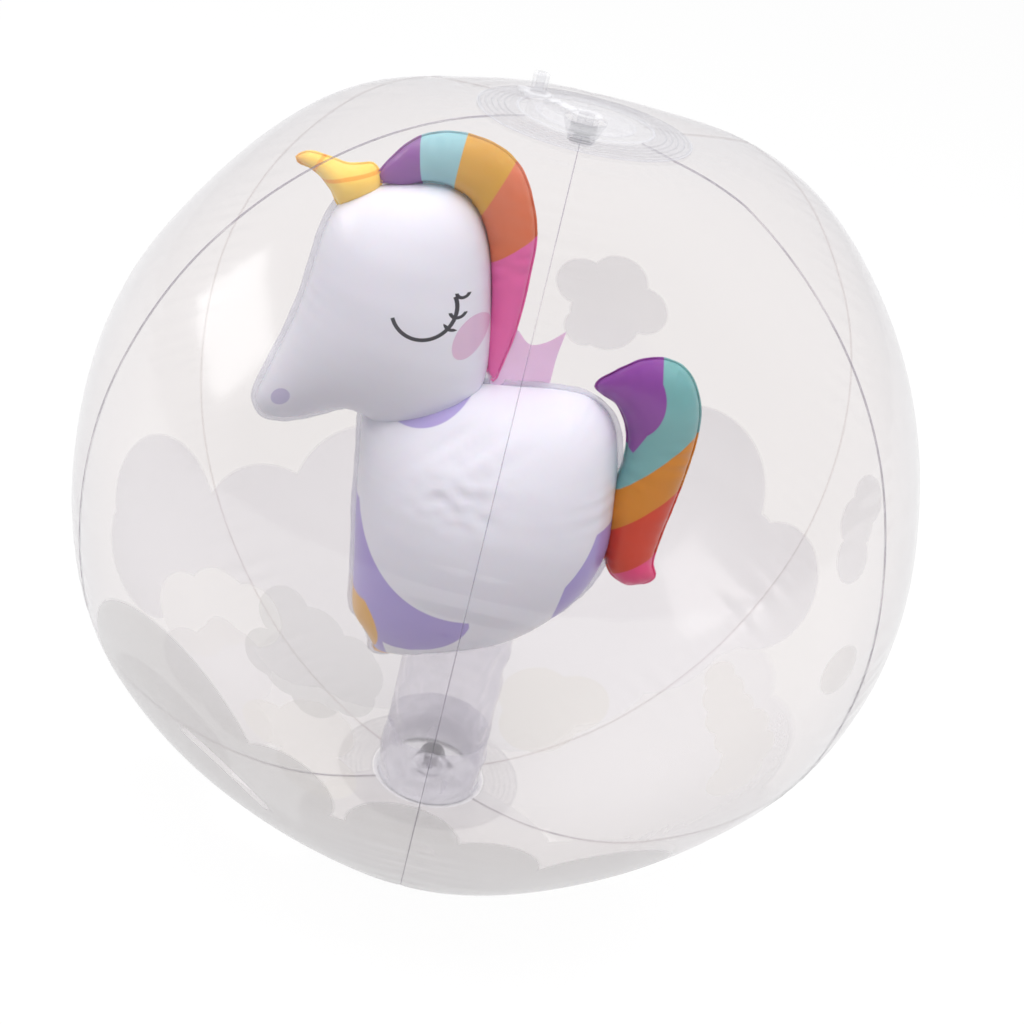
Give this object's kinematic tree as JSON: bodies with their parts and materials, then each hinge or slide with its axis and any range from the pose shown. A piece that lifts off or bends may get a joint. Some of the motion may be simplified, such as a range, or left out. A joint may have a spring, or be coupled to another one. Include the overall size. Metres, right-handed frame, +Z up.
{
  "type": "inflatable beach ball",
  "caption": "Clear inflatable beach ball of welded film gores with polar caps, push-in plug valves and an inflatable unicorn on a pillar inside.",
  "frame": {"origin": "on the ground under the ball's middle, where the ball's own axis meets it", "axes": "+Z up along the ball's axis, out of the upper valve; the unicorn faces -X and its left side faces -Y"},
  "size_m": [0.352, 0.3488, 0.3232],
  "materials": {
    "clear_film": "clear gloss film with pale cloud print",
    "cap_film": "clear gloss film with embossed weld rings",
    "clear_vinyl": "soft clear moulding",
    "lilac_film": "clear lilac-tinted film",
    "white_film": "printed white film",
    "gold_film": "gold film with orange bands",
    "mane_film": "film printed in rainbow bands",
    "tail_film": "film printed in rainbow bands",
    "pink_film": "pale pink printed film"
  },
  "bodies": {
    "ball": {"gore_1": "clear_film", "gore_2": "clear_film", "gore_3": "clear_film", "gore_4": "clear_film", "gore_5": "clear_film", "gore_6": "clear_film", "top_cap": "cap_film", "bottom_cap": "cap_film", "top_valve_flange": "clear_vinyl", "top_valve_web": "clear_vinyl", "bottom_valve_flange": "clear_vinyl", "bottom_valve_web": "clear_vinyl", "body_left_panel": "white_film", "body_right_panel": "white_film", "head_left_panel": "white_film", "head_right_panel": "white_film", "horn_left_panel": "gold_film", "horn_right_panel": "gold_film", "mane_left_panel": "mane_film", "mane_right_panel": "mane_film", "tail_left_panel": "tail_film", "tail_right_panel": "tail_film", "mane_flick": "pink_film", "pillar": "lilac_film", "pillar_sleeve": "lilac_film"},
    "top_stem": {"top_valve_stem": "clear_vinyl", "top_valve_flap": "clear_vinyl"},
    "top_strap": {"top_valve_strap": "clear_vinyl"},
    "top_plug": {"top_valve_plug": "clear_vinyl"},
    "bottom_stem": {"bottom_valve_stem": "clear_vinyl", "bottom_valve_flap": "clear_vinyl", "bottom_valve_strap": "clear_vinyl"},
    "bottom_plug": {"bottom_valve_plug": "clear_vinyl"}
  },
  "joints": [
    {"name": "top_valve_pop", "type": "slide", "parent": "ball", "child": "top_stem", "axis": [0, 0, 1], "range_m": [0, 0.015], "deforming": ["top_valve_web"]},
    {"name": "top_plug_swing", "type": "hinge", "parent": "top_stem", "child": "top_strap", "pos_m": [-0.01016, 0.00711, 0.31935], "axis": [0.5736, 0.8192, 0], "range_deg": [0, 180], "deforming": ["top_valve_strap"]},
    {"name": "top_plug_press", "type": "slide", "parent": "top_strap", "child": "top_plug", "axis": [0, 0, 1], "range_m": [0, 0.0081]},
    {"name": "bottom_valve_pop", "type": "slide", "parent": "ball", "child": "bottom_stem", "axis": [0, 0, -1], "range_m": [0, 0.015], "deforming": ["bottom_valve_web"]},
    {"name": "bottom_plug_pull", "type": "slide", "parent": "bottom_stem", "child": "bottom_plug", "axis": [0, 0, -1], "range_m": [0, 0.009], "deforming": ["bottom_valve_strap"]}
  ]
}
